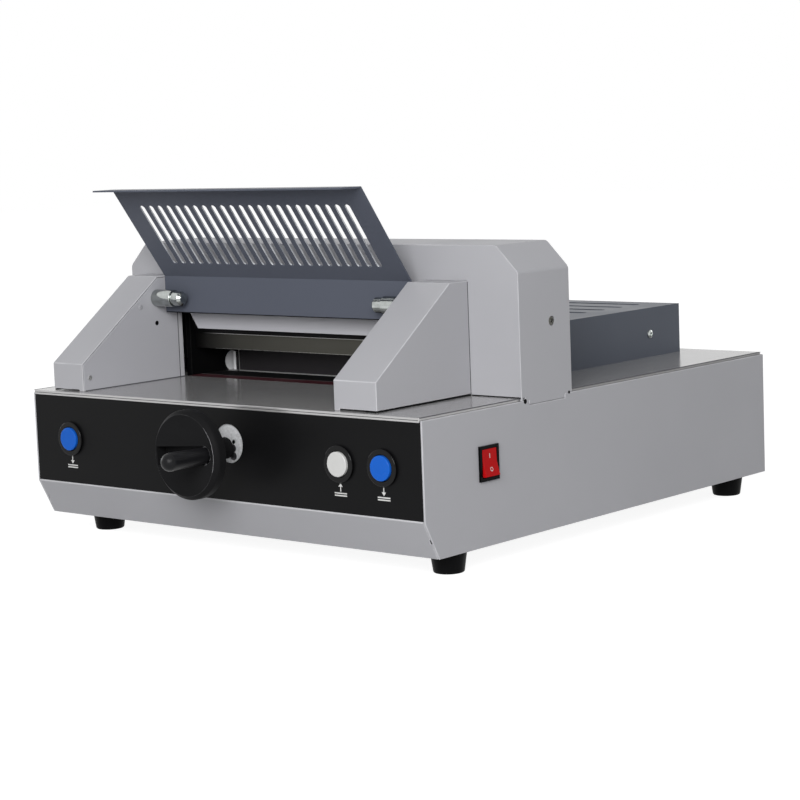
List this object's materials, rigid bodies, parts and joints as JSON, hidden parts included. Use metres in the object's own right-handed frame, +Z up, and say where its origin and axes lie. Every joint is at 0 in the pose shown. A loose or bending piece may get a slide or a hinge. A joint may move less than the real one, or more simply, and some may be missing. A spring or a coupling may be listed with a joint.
{
  "type": "electric paper cutter",
  "caption": "Desktop electric guillotine for paper stacks, with a hinged slotted guard, a powered knife and clamp in a bridge, a back gauge on a hand wheel and a rear cover.",
  "frame": {"origin": "centre of the object's box, on the ground under the feet", "axes": "+X to the operator's right, +Y from the front panel to the rear, +Z up"},
  "size_m": [0.531, 0.686, 0.3543],
  "materials": {
    "painted_grey": "satin grey paint",
    "panel_black": "satin black paint",
    "table_steel": "ground steel",
    "guard_paint": "satin blue-grey paint",
    "bright_steel": "polished",
    "zinc_steel": "zinc plated",
    "dark_steel": "oiled dark steel",
    "stick_red": "matt",
    "white_plastic": "gloss",
    "blue_plastic": "gloss",
    "red_plastic": "gloss",
    "black_plastic": "satin",
    "motor_black": "matt",
    "bronze": "machined",
    "board": "matt",
    "foot_rubber": "matt"
  },
  "bodies": {
    "chassis": {"left_wall": "painted_grey", "right_wall": "painted_grey", "rear_wall": "painted_grey", "skirt": "painted_grey", "bottom_plate": "painted_grey", "front_panel": "panel_black", "work_table": "table_steel", "rear_table": "table_steel", "table_rails": "zinc_steel", "stick_bed": "dark_steel", "cutting_stick": "stick_red", "left_frame": "panel_black", "right_frame": "panel_black", "sight_plug": "white_plastic", "cross_beam": "dark_steel", "knife_guides": "zinc_steel", "bridge_cover": "painted_grey", "left_cheek": "painted_grey", "left_cheek_panel": "painted_grey", "right_cheek": "painted_grey", "right_cheek_panel": "painted_grey", "throat_liners": "bright_steel", "hinge_bolts": "bright_steel", "drive_bracket": "zinc_steel", "gearmotor": "motor_black", "clamp_drive": "motor_black", "bearing_plate": "zinc_steel", "gauge_bars": "zinc_steel", "guide_rods": "bright_steel", "rear_cover": "guard_paint", "button_bezels": "black_plastic", "rocker_bezel": "black_plastic", "power_inlet": "black_plastic", "control_unit": "board", "feet": "foot_rubber"},
    "guard": {"guard": "guard_paint", "guard_sleeves": "bright_steel"},
    "gauge_wheel": {"knob": "black_plastic", "handle_pin": "bright_steel", "lead_screw": "bright_steel"},
    "fold_handle": {"wheel_handle": "black_plastic"},
    "gauge": {"gauge_carriage": "zinc_steel", "back_gauge": "panel_black"},
    "crank": {"crank_arm": "dark_steel", "crank_roller": "bright_steel"},
    "knife": {"knife_carrier": "painted_grey", "knife_blade": "table_steel"},
    "clamp_turner": {"clamp_nut": "bronze"},
    "clamp": {"clamp_bar": "dark_steel", "clamp_rods": "bright_steel"},
    "left_cap": {"button_left": "blue_plastic"},
    "white_cap": {"button_white": "white_plastic"},
    "right_cap": {"button_right": "blue_plastic"},
    "switch_rocker": {"rocker": "red_plastic"}
  },
  "joints": [
    {"name": "guard_hinge", "type": "hinge", "parent": "chassis", "child": "guard", "pos_m": [-0.02523, -0.1165, 0.238], "axis": [1, 0, 0], "range_deg": [0, 90]},
    {"name": "gauge_slide", "type": "slide", "parent": "chassis", "child": "gauge", "axis": [0, 1, 0], "range_m": [0, 0.3]},
    {"name": "gauge_turn", "type": "hinge", "parent": "chassis", "child": "gauge_wheel", "pos_m": [0.01452, -0.234, 0.1085], "axis": [0, 1, 0], "range_deg": [-5402, 2]},
    {"name": "handle_fold", "type": "hinge", "parent": "gauge_wheel", "child": "fold_handle", "pos_m": [0.04046, -0.2883, 0.11031], "axis": [0.0698, 0, -0.9976], "range_deg": [0, 90]},
    {"name": "knife_slide", "type": "slide", "parent": "chassis", "child": "knife", "axis": [0, 0, 1], "range_m": [-0.046, 0]},
    {"name": "crank_turn", "type": "hinge", "parent": "chassis", "child": "crank", "pos_m": [0.23352, -0.066, 0.228], "axis": [0, 1, 0], "range_deg": [-95.84, 0.05]},
    {"name": "clamp_slide", "type": "slide", "parent": "chassis", "child": "clamp", "axis": [0, 0, 1], "range_m": [-0.028, 0]},
    {"name": "clamp_nut_turn", "type": "hinge", "parent": "chassis", "child": "clamp_turner", "pos_m": [-0.02523, -0.0355, 0.231], "axis": [0, 0, 1], "range_deg": [-2, 2522]},
    {"name": "left_press", "type": "slide", "parent": "chassis", "child": "left_cap", "axis": [0, 1, 0], "range_m": [0, 0.003], "stiffness_N_per_m": 900, "springref_m": -0.002},
    {"name": "white_press", "type": "slide", "parent": "chassis", "child": "white_cap", "axis": [0, 1, 0], "range_m": [0, 0.003], "stiffness_N_per_m": 900, "springref_m": -0.002},
    {"name": "right_press", "type": "slide", "parent": "chassis", "child": "right_cap", "axis": [0, 1, 0], "range_m": [0, 0.003], "stiffness_N_per_m": 900, "springref_m": -0.002},
    {"name": "rocker_turn", "type": "hinge", "parent": "chassis", "child": "switch_rocker", "pos_m": [0.25952, -0.141, 0.098], "axis": [0, 1, 0], "range_deg": [0, 18]}
  ],
  "couplings": [
    {"joint": "gauge_turn", "follows": "gauge_slide", "rad_per_m": -314.16},
    {"joint": "crank_turn", "follows": "knife_slide", "rad_per_m": 36.346},
    {"joint": "clamp_nut_turn", "follows": "clamp_slide", "rad_per_m": -1570.8}
  ]
}
